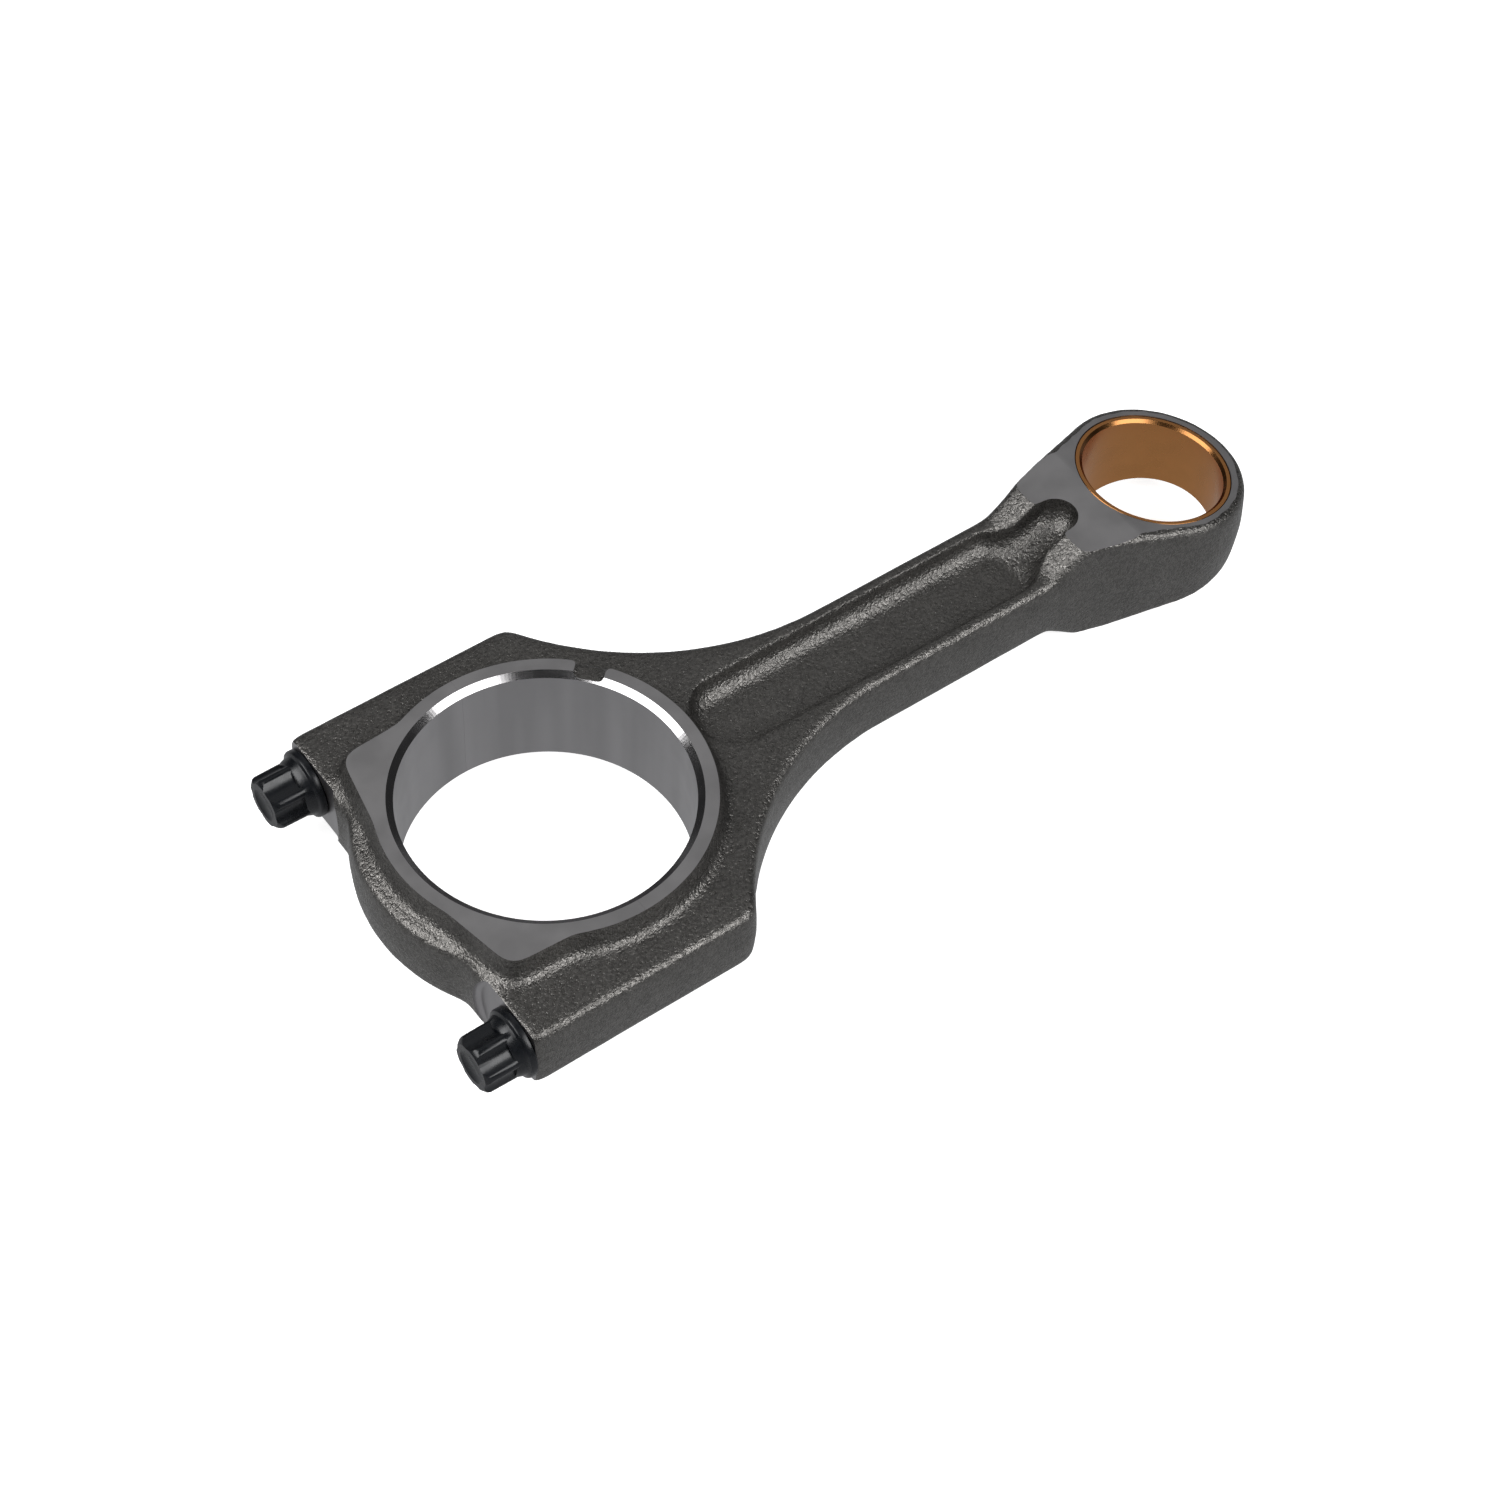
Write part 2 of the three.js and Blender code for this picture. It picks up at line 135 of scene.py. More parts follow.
class RodColours(PropertyGroup):
    skin: colour("Forged skin", "Shot-blasted scale of the forging", (0.14, 0.135, 0.129))
    ground: colour("Ground steel", "Ground side faces and bore", (0.42, 0.412, 0.418))
    bronze: colour("Bronze", "Bored bronze of the bush", (0.58, 0.26, 0.09))
    black: colour("Black finish", "Phosphated bolts", (0.006, 0.007, 0.009))
    floor: colour("Floor", "Pale studio floor", (0.9, 0.9, 0.9))


def in_mm(group):
    """The group's lengths in millimetres, the unit that the pieces are drawn in."""
    names = [p.identifier for p in group.bl_rna.properties if p.type == "FLOAT"]
    return SimpleNamespace(**{name: getattr(group, name) / MM for name in names})


# Fixed proportions of the forging, in millimetres and degrees. STOCK is what machining takes off.
FLARE_ANGLE = 16.5
FLARE_RADIUS = 40
BOSS_CORNER = 2.2
SEAT_STOCK = 1.4
SPOTFACE = 12
DRAFT = 0.45
RAMP_START = 108.5
PAD_START = 115.5
PAD_END = 127.8
TAPER_ANGLE = 8.05
STOCK = 0.8
COLLAR_SLOPE = 0.27
COLLAR_OVER = 3
CHEEK = 27.3
CHEEK_END = 25.5
CHEEK_ROOT_ANGLE = 115
CHEEK_TIP_ANGLE = 158
CHEEK_CORNER = 2.4
POCKET_START = 33.3
POCKET_SHOULDER = 104
POCKET_NARROW = 113
POCKET_END = 121.8
TONGUE_HALF = 4.2
POCKET_FILLET = 3.8
NOTCH_ANGLE = 40
NOTCH_WIDTH = 6.2
NOTCH_DEPTH = 0.65
NOTCH_INSIDE = 5
NOTCH_OUTSIDE = 1.5
BOLT_HOLE = 4.75
HOLE_CHAMFER = 0.5
EYE_STOCK = 0.1
TONGUE_RISE_START = 107
TONGUE_RISE = 0.32
SPOTFACE_FILLET = 1
BUSH_GAP = 0.03
BUSH_RECESS = 0.15
BUSH_EDGE = 0.2
CRACK_GAP = 0.02

# How the forging is blended and roughened: passes of smoothing, and waviness in millimetres
BODY_PASSES = 44
EDGE_PASSES = 9
SKIN_WAVE = 0.1
SKIN_WAVE_WIDTH = 9
CRACK_WAVE = 0.35
CRACK_WAVE_WIDTH = 1.6

# Bolts, in millimetres and radians
HEAD_LOBE_DEPTH = 1.2
HEAD_TURN = 0.2
LOBE_ROUND = 1.1
HOLLOW_ROUND = 3.3
LOBES = 6
THREAD_LENGTH = 24
THREAD_STEPS = 32
SEAT_GAP = 0.02

# Studio, in metres, watts and strengths
FLOOR_GLOW = 0.8
FLOOR_DROP = 0.0002
GROUND_LEVEL = 0.42
ROOM_LEVEL = 0.04
HORIZON = 0.15
LAMPS = (
    ("front_softbox", (0.24, -0.67, 0.67), 1.1, 0.7, 0.7, 9),
    ("side_softbox", (-0.67, 0.2, 0.68), 1.1, 0.9, 0.62, 10),
    ("back_softbox", (0.39, 0.48, 0.79), 1.4, 1.3, 1.3, 1.8),
)
CAMERA_PLACE = Vector((-0.25257, -0.29286, 0.48296))
CAMERA_RIGHT = Vector((0.80620634, -0.59041236, 0.03800777))
CAMERA_UP = Vector((0.44623056, 0.64899349, 0.61618645))
CAMERA_BACK = Vector((-0.38847089, -0.47981319, 0.7866827))
LENS = 78.05
SENSOR = 36

# Past everything, for cutters, in millimetres
REACH = 60
# Two heights closer than this are one, and a face whose normal's Z passes FLAT is a flat one
SAME_POINT = 0.001
FLAT = 0.9
# A face broader than this, in square millimetres, keeps every edge that bends by more, in radians
BROAD_FACE = 25
BROAD_ANGLE = 0.035


# ---------------------------------------------------------------------------------------------
# Drawing with bmesh operators


class Pen:
    """Draws one outline in the XY plane, point by point."""

    def __init__(self, x, y):
        self.bm = bmesh.new()
        self.tip = self.bm.verts.new((x, y, 0))

    def line(self, x, y):
        drawn = bmesh.ops.extrude_vert_indiv(self.bm, verts=[self.tip])
        self.tip = drawn["verts"][0]
        self.tip.co = (x, y, 0)
        return self

    def arc(self, x, y, degrees, steps):
        turned = bmesh.ops.spin(
            self.bm, geom=[self.tip], cent=(x, y, 0), axis=(0, 0, 1), dvec=(0, 0, 0),
            angle=math.radians(degrees), steps=steps,
        )
        self.tip = [item for item in turned["geom_last"] if isinstance(item, bmesh.types.BMVert)][0]
        return self

    def curve(self, towards, away, end, steps):
        start = self.tip.co.copy()
        for point in interpolate_bezier(start, (*towards, 0), (*away, 0), (*end, 0), steps + 1)[1:]:
            self.line(point.x, point.y)
        return self

    def face(self, mirrored=True):
        """Closes the outline, after mirroring it across the centre line."""
        if mirrored:
            bmesh.ops.mirror(
                self.bm, geom=self.bm.verts[:] + self.bm.edges[:], axis="Y", merge_dist=0.01
            )
        bmesh.ops.remove_doubles(self.bm, verts=self.bm.verts, dist=0.01)
        bmesh.ops.contextual_create(self.bm, geom=self.bm.edges[:])
        bmesh.ops.recalc_face_normals(self.bm, faces=self.bm.faces)
        if self.bm.faces[:][0].normal.z < 0:
            bmesh.ops.reverse_faces(self.bm, faces=self.bm.faces)
        return self.bm


def round_corner(bm, x, y, offset, steps=4):
    """Rounds the outline's corner nearest to a point."""
    target = Vector((x, y, 0))
    corner = min(bm.verts, key=lambda v: (v.co - target).length)
    bmesh.ops.bevel(
        bm, geom=[corner], offset=offset, segments=steps, profile=0.5, affect="VERTICES", material=-1
    )
    return bm


def raised(bm, low, high, lean=0.0):
    """Makes a closed slab of the outline between two heights, leaning in towards its top."""
    bmesh.ops.translate(bm, verts=bm.verts, vec=(0, 0, low))
    step = 0.05 * (high - low)
    extruded = bmesh.ops.extrude_face_region(bm, geom=bm.faces[:])
    top = [item for item in extruded["geom"] if isinstance(item, bmesh.types.BMFace)]
    verts = [item for item in extruded["geom"] if isinstance(item, bmesh.types.BMVert)]
    if lean:
        bmesh.ops.translate(bm, verts=verts, vec=(0, 0, step))
        bmesh.ops.recalc_face_normals(bm, faces=bm.faces)
        bmesh.ops.inset_region(
            bm, faces=top, thickness=lean, depth=high - low - step, use_even_offset=True,
            use_boundary=True,
        )
    else:
        bmesh.ops.translate(bm, verts=verts, vec=(0, 0, high - low))
    bmesh.ops.recalc_face_normals(bm, faces=bm.faces)
    return bm


def slice_off(bm, point, normal):
    """Cuts away what lies beyond a plane and closes the cut."""
    geometry = bm.verts[:] + bm.edges[:] + bm.faces[:]
    cut = bmesh.ops.bisect_plane(
        bm, geom=geometry, dist=0.0001, plane_co=point, plane_no=normal, clear_outer=True
    )
    edges = [item for item in cut["geom_cut"] if isinstance(item, bmesh.types.BMEdge)]
    bmesh.ops.contextual_create(bm, geom=edges)
    bmesh.ops.recalc_face_normals(bm, faces=bm.faces)
    return bm


def quarter_turn(bm, axis):
    quarter = Matrix.Rotation(math.pi / 2, 3, axis)
    bmesh.ops.rotate(bm, verts=bm.verts, cent=(0, 0, 0), matrix=quarter)
    return bm


def turned(profile, segments, axis="Z"):
    """Turns a profile of (radius, height) pairs about an axis. It starts and ends on the axis."""
    bm = bmesh.new()
    tip = bm.verts.new((profile[0][0], 0, profile[0][1]))
    for radius, height in profile[1:]:
        tip = bmesh.ops.extrude_vert_indiv(bm, verts=[tip])["verts"][0]
        tip.co = (radius, 0, height)
    bmesh.ops.spin(
        bm, geom=bm.verts[:] + bm.edges[:], cent=(0, 0, 0), axis=(0, 0, 1), dvec=(0, 0, 0),
        angle=math.tau, steps=segments, use_merge=True,
    )
    bmesh.ops.remove_doubles(bm, verts=bm.verts, dist=0.001)
    bmesh.ops.recalc_face_normals(bm, faces=bm.faces)
    return quarter_turn(bm, "Y") if axis == "X" else bm


def block(low, high):
    """A box between two corners, as a cutter."""
    bm = bmesh.new()
    bmesh.ops.create_cube(bm, size=1)
    low, high = Vector(low), Vector(high)
    bmesh.ops.scale(bm, verts=bm.verts, vec=high - low)
    bmesh.ops.translate(bm, verts=bm.verts, vec=(low + high) / 2)
    return bm


def flipped(bm):
    """A copy mirrored across the parting plane."""
    copy = bm.copy()
    bmesh.ops.scale(copy, verts=copy.verts, vec=(1, 1, -1))
    bmesh.ops.reverse_faces(copy, faces=copy.faces)
    return copy


def joined(*parts):
    """One bmesh that holds all of these as loose shells."""
    whole = bmesh.new()
    for part in parts:
        mesh = bpy.data.meshes.new("loose")
        part.to_mesh(mesh)
        whole.from_mesh(mesh)
        bpy.data.meshes.remove(mesh)
    return whole


def to_object(name, bm, material=None):
    mesh = bpy.data.meshes.new(name)
    bm.to_mesh(mesh)
    bm.free()
    if material:
        mesh.materials.append(material)
    thing = bpy.data.objects.new(name, mesh)
    bpy.context.scene.collection.objects.link(thing)
    return thing


def apply_modifiers(thing):
    """Replaces the object's mesh by what its modifiers make of it."""
    graph = bpy.context.evaluated_depsgraph_get()
    graph.update()
    finished = bpy.data.meshes.new_from_object(thing.evaluated_get(graph))
    old = thing.data
    thing.modifiers.clear()
    thing.data = finished
    finished.name = thing.name
    bpy.data.meshes.remove(old)
    return thing


def combine(thing, tool, operation="DIFFERENCE"):
    """An exact boolean that uses up its tool and carries its material onto the faces it leaves."""
    cut = thing.modifiers.new("cut", "BOOLEAN")
    cut.operation = operation
    cut.solver = "EXACT"
    cut.material_mode = "TRANSFER"
    cut.object = tool
    apply_modifiers(thing)
    bpy.data.objects.remove(tool)
    if not thing.data.polygons:
        raise RuntimeError("nothing is left of " + thing.name)
    return thing


# ---------------------------------------------------------------------------------------------
# The forging: drawn slightly over size, blended, then machined


def both_halves(bm):
    """Mirrors an upper half across the parting plane and joins the two."""
    floor = [
        face for face in bm.faces
        if abs(face.calc_center_median().z) < SAME_POINT and abs(face.normal.z) > FLAT
    ]
    bmesh.ops.delete(bm, geom=floor, context="FACES_ONLY")
    geometry = bm.verts[:] + bm.edges[:] + bm.faces[:]
    bmesh.ops.mirror(bm, geom=geometry, axis="Z", merge_dist=0.01)
    bmesh.ops.recalc_face_normals(bm, faces=bm.faces)
    return bm


def small_end_pen(size, grow=0.0):
    """From the far end of the eye round to the flank and down the hollow flare to the beam."""
    eye = size.eye + grow
    beam = size.beam_half + grow
    tilt = math.radians(FLARE_ANGLE)
    touch_x = CENTRES - eye * math.sin(tilt)
    touch_y = eye * math.cos(tilt)
    foot_x = touch_x - (touch_y - beam) / math.tan(tilt)
    centre_x = foot_x - FLARE_RADIUS * math.tan(tilt / 2)
    centre_y = beam + FLARE_RADIUS
    pen = Pen(CENTRES + eye, 0).arc(CENTRES, 0, 90 + FLARE_ANGLE, 24)
    pen.line(centre_x + FLARE_RADIUS * math.sin(tilt), centre_y - FLARE_RADIUS * math.cos(tilt))
    return pen.arc(centre_x, centre_y, -FLARE_ANGLE, 8)


def body_blank(size):
    """Beam, necks, bolt bosses and strap at the forged height."""
    pen = small_end_pen(size)
    pen.line(size.neck_end, size.beam_half)
    centre_y = size.beam_half + size.neck
    rise = math.degrees(math.asin((centre_y - size.boss_half) / size.neck))
    pen.arc(size.neck_end, centre_y, rise - 90, 28)
    corner_x = pen.tip.co.x
    end = size.seat + SEAT_STOCK
    pen.line(-end, size.boss_half)
    strap_y = math.sqrt(size.strap**2 - end**2)
    pen.line(-end, strap_y)
    pen.arc(0, 0, math.degrees(math.atan2(strap_y, end)), 12)
    bm = pen.face()
    for side in (1, -1):
        round_corner(bm, corner_x, side * size.boss_half, BOSS_CORNER)
        round_corner(bm, -end, side * size.boss_half, BOSS_CORNER)
    return both_halves(raised(bm, 0, size.forged_half, DRAFT))


def small_end_blank(size):
    """The small end with its ramps, pads and tapered eye, left high for machining."""
    pen = small_end_pen(size)
    pen.line(POCKET_SHOULDER - 5, size.beam_half).line(POCKET_SHOULDER - 5, 0)
    top = size.small_half + STOCK
    bm = raised(pen.face(), 0, top, 2 * DRAFT)
    ramp = Vector((size.forged_half - size.small_half, 0, PAD_START - RAMP_START)).normalized()
    slice_off(bm, (RAMP_START, 0, size.forged_half), ramp)
    taper = math.radians(TAPER_ANGLE)
    slice_off(bm, (PAD_END, 0, size.small_half + EYE_STOCK), (math.sin(taper), 0, math.cos(taper)))
    return both_halves(bm)


def side_face_pen(size):
    """The ground side face: a ring with a flat cheek beside each bolt."""
    root = math.radians(CHEEK_ROOT_ANGLE)
    tip = math.radians(CHEEK_TIP_ANGLE)
    ring = size.thrust_ring
    pen = Pen(ring, 0).arc(0, 0, CHEEK_ROOT_ANGLE, 36)
    pen.line(-CHEEK_END, CHEEK)
    pen.line(ring * math.cos(tip), ring * math.sin(tip))
    return pen.arc(0, 0, 180 - CHEEK_TIP_ANGLE, 6)


def collar_blank(size):
    """The raised collar round the crank bore, with sloping flanks, left high for grinding."""
    bm = side_face_pen(size).face()
    for side in (1, -1):
        round_corner(bm, -CHEEK_END, side * CHEEK, CHEEK_CORNER)
    high = size.thrust_half + COLLAR_OVER
    raised(bm, size.thrust_half, high, COLLAR_SLOPE * COLLAR_OVER)
    under = [face for face in bm.faces if face.normal.z < -FLAT]
    bmesh.ops.inset_region(
        bm, faces=under, thickness=-COLLAR_SLOPE * size.thrust_half, depth=size.thrust_half,
        use_even_offset=True, use_boundary=True,
    )
    bmesh.ops.recalc_face_normals(bm, faces=bm.faces)
    return both_halves(bm)


def pocket_tool(size):
    """What the die presses out of one side of the beam, with a tongue up into the small end."""
    half = size.pocket_half
    pen = Pen(POCKET_START, 0)
    pen.arc(POCKET_START + half, 0, -90, 14)
    pen.line(POCKET_SHOULDER, half)
    middle = (POCKET_SHOULDER + POCKET_NARROW) / 2
    pen.curve((middle, half), (middle, TONGUE_HALF), (POCKET_NARROW, TONGUE_HALF), 8)
    pen.line(POCKET_END - TONGUE_HALF, TONGUE_HALF)
    pen.arc(POCKET_END - TONGUE_HALF, 0, -90, 6)
    bm = pen.face()
    wall = size.web_half + POCKET_FILLET
    raised(bm, wall, REACH)
    floor = [face for face in bm.faces if face.normal.z < -FLAT]
    steps = 6
    inset, sunk = 0.0, 0.0
    for step in range(1, steps + 1):
        angle = math.radians(90 * step / steps)
        to_inset = POCKET_FILLET * (1 - math.cos(angle))
        to_sunk = POCKET_FILLET * math.sin(angle)
        bmesh.ops.inset_region(
            bm, faces=floor, thickness=to_inset - inset, depth=to_sunk - sunk,
            use_even_offset=True, use_boundary=True,
        )
        inset, sunk = to_inset, to_sunk
    bmesh.ops.bisect_plane(
        bm, geom=bm.verts[:] + bm.edges[:] + bm.faces[:], dist=SAME_POINT,
        plane_co=(TONGUE_RISE_START, 0, 0), plane_no=(1, 0, 0),
    )
    lift = Matrix.Identity(4)
    lift[2][0] = TONGUE_RISE
    beyond = [vert for vert in bm.verts if vert.co.x > TONGUE_RISE_START]
    about = Matrix.Translation((-TONGUE_RISE_START, 0, 0))
    bmesh.ops.transform(bm, matrix=about.inverted() @ lift @ about, verts=beyond)
    return bm


def notch_tool(size):
    """The tang notch, pressed into one side face."""
    low = size.thrust_half - NOTCH_DEPTH
    near = (size.bore - NOTCH_INSIDE, -NOTCH_WIDTH / 2, low)
    far = (size.thrust_ring + NOTCH_OUTSIDE, NOTCH_WIDTH / 2, REACH)
    bm = block(near, far)
    swing = Matrix.Rotation(math.radians(NOTCH_ANGLE), 3, "Z")
    bmesh.ops.rotate(bm, verts=bm.verts, cent=(0, 0, 0), matrix=swing)
    return bm


def blended(thing, cell, passes):
    """Rounds the whole forging as the dies and the shot blasting leave it."""
    remesh = thing.modifiers.new("cells", "REMESH")
    remesh.mode = "VOXEL"
    remesh.voxel_size = cell
    smooth = thing.modifiers.new("round", "SMOOTH")
    smooth.factor = 0.5
    smooth.iterations = passes
    return apply_modifiers(thing)


def uneven(thing, strength, width):
    """Slight waviness of a forged skin, in the mesh itself."""
    texture = bpy.data.textures.new("waviness", "CLOUDS")
    texture.noise_scale = width
    texture.noise_depth = 2
    wave = thing.modifiers.new("waviness", "DISPLACE")
    wave.texture = texture
    wave.texture_coords = "LOCAL"
    wave.strength = strength
    wave.mid_level = 0.5
    apply_modifiers(thing)
    bpy.data.textures.remove(texture)
    return thing


def forging(size, skin):
    """The body is blended broadly first; the pockets are pressed into it with tighter edges."""
    blank = to_object("forging", body_blank(size), skin)
    combine(blank, to_object("small_end", small_end_blank(size), skin), "UNION")
    combine(blank, to_object("collar", collar_blank(size), skin), "UNION")
    blended(blank, size.voxel, BODY_PASSES)
    pocket = pocket_tool(size)
    dies = to_object("dies", joined(pocket, flipped(pocket), notch_tool(size)), skin)
    pocket.free()
    combine(blank, dies)
    blended(blank, size.voxel, EDGE_PASSES)
    return uneven(blank, SKIN_WAVE, SKIN_WAVE_WIDTH)


# ---------------------------------------------------------------------------------------------
# Machining


def side_faces_tool(size):
    """Everything above the ground side faces of the big end."""
    return block((-REACH, -REACH, size.thrust_half), (REACH, REACH, REACH))


def pad_tool(size):
    """Everything above the small end's pads and the taper of its eye."""
    slope = math.tan(math.radians(TAPER_ANGLE))
    end = CENTRES + REACH
    pen = Pen(REACH + 20, size.small_half)
    pen.line(PAD_END - 0.3, size.small_half)
    pen.line(PAD_END + 0.3, size.small_half - 0.3 * slope - 0.02)
    pen.line(end, size.small_half - (end - PAD_END) * slope)
    pen.line(end, REACH).line(REACH + 20, REACH)
    return quarter_turn(raised(pen.face(mirrored=False), -REACH, REACH), "X")


def crank_bore_tool(size):
    """The crank bore with the chamfer at each end, which runs on outside the side faces."""
    wide = size.bore + size.bore_chamfer
    flat = size.thrust_half - size.chamfer_depth
    beyond = 4
    over = size.thrust_half + beyond
    overshoot = beyond * size.bore_chamfer / size.chamfer_depth
    return turned(
        [
            (0, -over), (wide + overshoot, -over), (wide, -size.thrust_half), (size.bore, -flat),
            (size.bore, flat), (wide, size.thrust_half), (wide + overshoot, over), (0, over),
        ],
        256,
    )


def pin_bore_tool():
    """The hole that the bush is pressed into."""
    radius = BUSH_OUTER + BUSH_GAP
    bm = turned([(0, -REACH), (radius, -REACH), (radius, REACH), (0, REACH)], 192)
    bmesh.ops.translate(bm, verts=bm.verts, vec=(CENTRES, 0, 0))
    return bm


def bolt_hole_tool(size, side):
    """Spotface with a filleted foot, a small countersink and the hole right through."""
    steps = 6
    profile = [(0, -REACH), (SPOTFACE, -REACH)]
    for step in range(steps + 1):
        angle = math.radians(90 * step / steps)
        radius = SPOTFACE - SPOTFACE_FILLET * (1 - math.cos(angle))
        profile.append((radius, -size.seat - SPOTFACE_FILLET * (1 - math.sin(angle))))
    profile += [(BOLT_HOLE + HOLE_CHAMFER, -size.seat), (BOLT_HOLE, HOLE_CHAMFER - size.seat)]
    profile += [(BOLT_HOLE, REACH), (0, REACH)]
    bm = turned(profile, 64, "X")
    bmesh.ops.translate(bm, verts=bm.verts, vec=(0, side * BOLT_SPREAD, 0))
    return bm


def machined(blank, size, finish):
    """Takes every machined surface off the forging in one cut."""
    tool = to_object("cutters", side_faces_tool(size), finish)
    pad = pad_tool(size)
    cutters = [
        flipped(side_faces_tool(size)), pad, flipped(pad), pin_bore_tool(),
        bolt_hole_tool(size, 1), bolt_hole_tool(size, -1),
    ]
    for cutter in cutters:
        combine(tool, to_object("cutter", cutter, finish), "UNION")
    bore = to_object("crank_bore", crank_bore_tool(size), finish)
    paint(bore, "turned_steel", sloping)
    combine(tool, bore, "UNION")
    return combine(blank, tool)


def fracture_tool(size, grain):
    """Everything on the cap's side of the cracked joint, whose face is finely uneven."""
    bm = bmesh.new()
    bmesh.ops.create_grid(bm, x_segments=40, y_segments=120, size=0.5)
    bmesh.ops.scale(bm, verts=bm.verts, vec=(0.7 * REACH, 2 * REACH, 1))
    tool = to_object("crack", bm, grain)
    uneven(tool, CRACK_WAVE, CRACK_WAVE_WIDTH)
    bm = bmesh.new()
    bm.from_mesh(tool.data)
    extruded = bmesh.ops.extrude_face_region(bm, geom=bm.faces[:])
    verts = [item for item in extruded["geom"] if isinstance(item, bmesh.types.BMVert)]
    bmesh.ops.scale(bm, verts=verts, vec=(1, 1, 0))
    bmesh.ops.translate(bm, verts=verts, vec=(0, 0, -REACH))
    bmesh.ops.recalc_face_normals(bm, faces=bm.faces)
    quarter_turn(bm, "Y")
    bm.to_mesh(tool.data)
    bm.free()
    return tool


# ---------------------------------------------------------------------------------------------
# Bush and bolts


def bush_solid(size):
    """A plain bush cut to the taper of the eye, chamfered inside at both ends."""
    half = size.small_half + 2
    section = ((size.pin_bore, -half), (BUSH_OUTER, -half), (BUSH_OUTER, half), (size.pin_bore, half))
    bm = bmesh.new()
    corners = [bm.verts.new((radius, 0, height)) for radius, height in section]
    for i, corner in enumerate(corners):
        bm.edges.new((corners[i - 1], corner))
    bmesh.ops.spin(
        bm, geom=bm.verts[:] + bm.edges[:], cent=(0, 0, 0), axis=(0, 0, 1), dvec=(0, 0, 0),
        angle=math.tau, steps=192, use_merge=True,
    )
    bmesh.ops.recalc_face_normals(bm, faces=bm.faces)
    bmesh.ops.translate(bm, verts=bm.verts, vec=(CENTRES, 0, 0))
    taper = math.radians(TAPER_ANGLE)
    for side in (1, -1):
        cut = bmesh.ops.bisect_plane(
            bm, geom=bm.verts[:] + bm.edges[:] + bm.faces[:], dist=0.0001, clear_outer=True,
            plane_co=(PAD_END, 0, side * (size.small_half - BUSH_RECESS)),
            plane_no=(math.sin(taper), 0, side * math.cos(taper)),
        )
        rims = [item for item in cut["geom_cut"] if isinstance(item, bmesh.types.BMEdge)]
        bmesh.ops.bridge_loops(bm, edges=rims)
    bmesh.ops.recalc_face_normals(bm, faces=bm.faces)
    axis = Vector((CENTRES, 0, 0))
    rims = [edge for edge in bm.edges if edge.calc_face_angle(0) > 1]
    middle = (size.pin_bore + BUSH_OUTER) / 2
    inner = [edge for edge in rims if (edge.verts[0].co - axis).xy.length < middle]
    outer = [edge for edge in rims if edge not in inner]
    for edges, width in ((inner, size.bush_chamfer), (outer, BUSH_EDGE)):
        bmesh.ops.bevel(
            bm, geom=edges, offset=width, segments=1, profile=0.5, affect="EDGES", material=-1
        )
    return bm


def lobed_outline(size):
    """The six-lobed outline of the head: small round lobes and wide hollows, all tangent."""
    centre = size.head - LOBE_ROUND
    half = math.pi / LOBES
    away = size.head - HEAD_LOBE_DEPTH + HOLLOW_ROUND
    swing = math.degrees(math.atan2(away * math.sin(half), away * math.cos(half) - centre))
    start = math.radians(-swing)
    pen = Pen(centre + LOBE_ROUND * math.cos(start), LOBE_ROUND * math.sin(start))
    for step in range(LOBES):
        turn = math.tau * step / LOBES
        pen.arc(centre * math.cos(turn), centre * math.sin(turn), 2 * swing, 8)
        between = turn + half
        pen.arc(away * math.cos(between), away * math.sin(between), 360 / LOBES - 2 * swing, 6)
    return pen.face(mirrored=False)


def head_shape(size, finish):
    """The lobed head, with its rounded end and the shallow dish in it."""
    head = to_object("head", raised(lobed_outline(size), size.seat + 2.4, REACH, 0.3), finish)
    end = BOLT_END
    rounded = [(size.head + 0.05, end - 1.5), (size.head - 0.35, end - 0.55), (size.head - 1, end)]
    dish = [(3.3, end), (2.8, end - 0.35), (0, end - 0.5)]
    envelope = [(0, 0), (8, 0), (8, end - 2.6), *rounded, *dish]
    combine(head, to_object("envelope", turned(envelope, 96), finish), "INTERSECT")
    return head


def threads(size):
    """A single continuous thread, cut square at both ends and closed."""
    turns = int(THREAD_LENGTH / size.pitch) + 4
    root = size.thread - 0.61 * size.pitch
    bm = bmesh.new()
    tip = bm.verts.new((root, 0, 0))
    tooth = ((size.thread, 0.42), (size.thread, 0.55), (root, 0.94), (root, 1))
    for radius, height in tooth:
        tip = bmesh.ops.extrude_vert_indiv(bm, verts=[tip])["verts"][0]
        tip.co = (radius, 0, height * size.pitch)
    bmesh.ops.spin(
        bm, geom=bm.verts[:] + bm.edges[:], cent=(0, 0, 0), axis=(0, 0, 1),
        dvec=(0, 0, size.pitch / THREAD_STEPS), angle=math.tau * turns, steps=THREAD_STEPS * turns,
    )
    bmesh.ops.remove_doubles(bm, verts=bm.verts, dist=0.01)
    bmesh.ops.recalc_face_normals(bm, faces=bm.faces)
    start = 1.5 * size.pitch
    slice_off(bm, (0, 0, start), (0, 0, -1))
    slice_off(bm, (0, 0, start + THREAD_LENGTH), (0, 0, 1))
    bmesh.ops.translate(bm, verts=bm.verts, vec=(0, 0, 1 - BOLT_TIP - start))
    return bm


